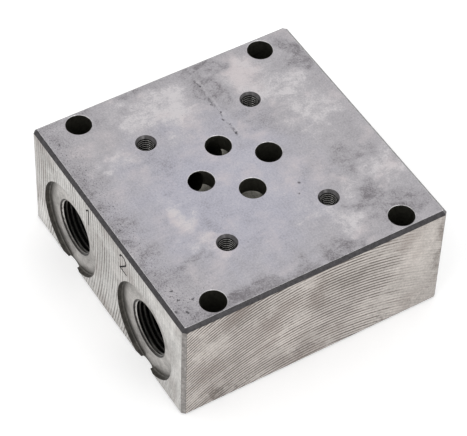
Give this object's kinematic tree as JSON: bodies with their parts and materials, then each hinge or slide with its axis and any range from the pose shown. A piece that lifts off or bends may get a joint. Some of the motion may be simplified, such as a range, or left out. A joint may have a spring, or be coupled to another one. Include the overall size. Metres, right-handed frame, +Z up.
{
  "type": "hydraulic manifold block",
  "caption": "Square steel subplate for one size 6 directional valve, with threaded side ports in spotfaces, slanted galleries and screw holes near the corners.",
  "frame": {"origin": "centre of the base", "axes": "+Z up out of the valve face; +X from port B to port A; the tank and pressure side ports open to -Y"},
  "size_m": [0.08, 0.08, 0.035],
  "materials": {
    "steel": "milled sides, ground and darkened valve face"
  },
  "bodies": {
    "root": {"manifold_block": "steel"}
  },
  "joints": []
}
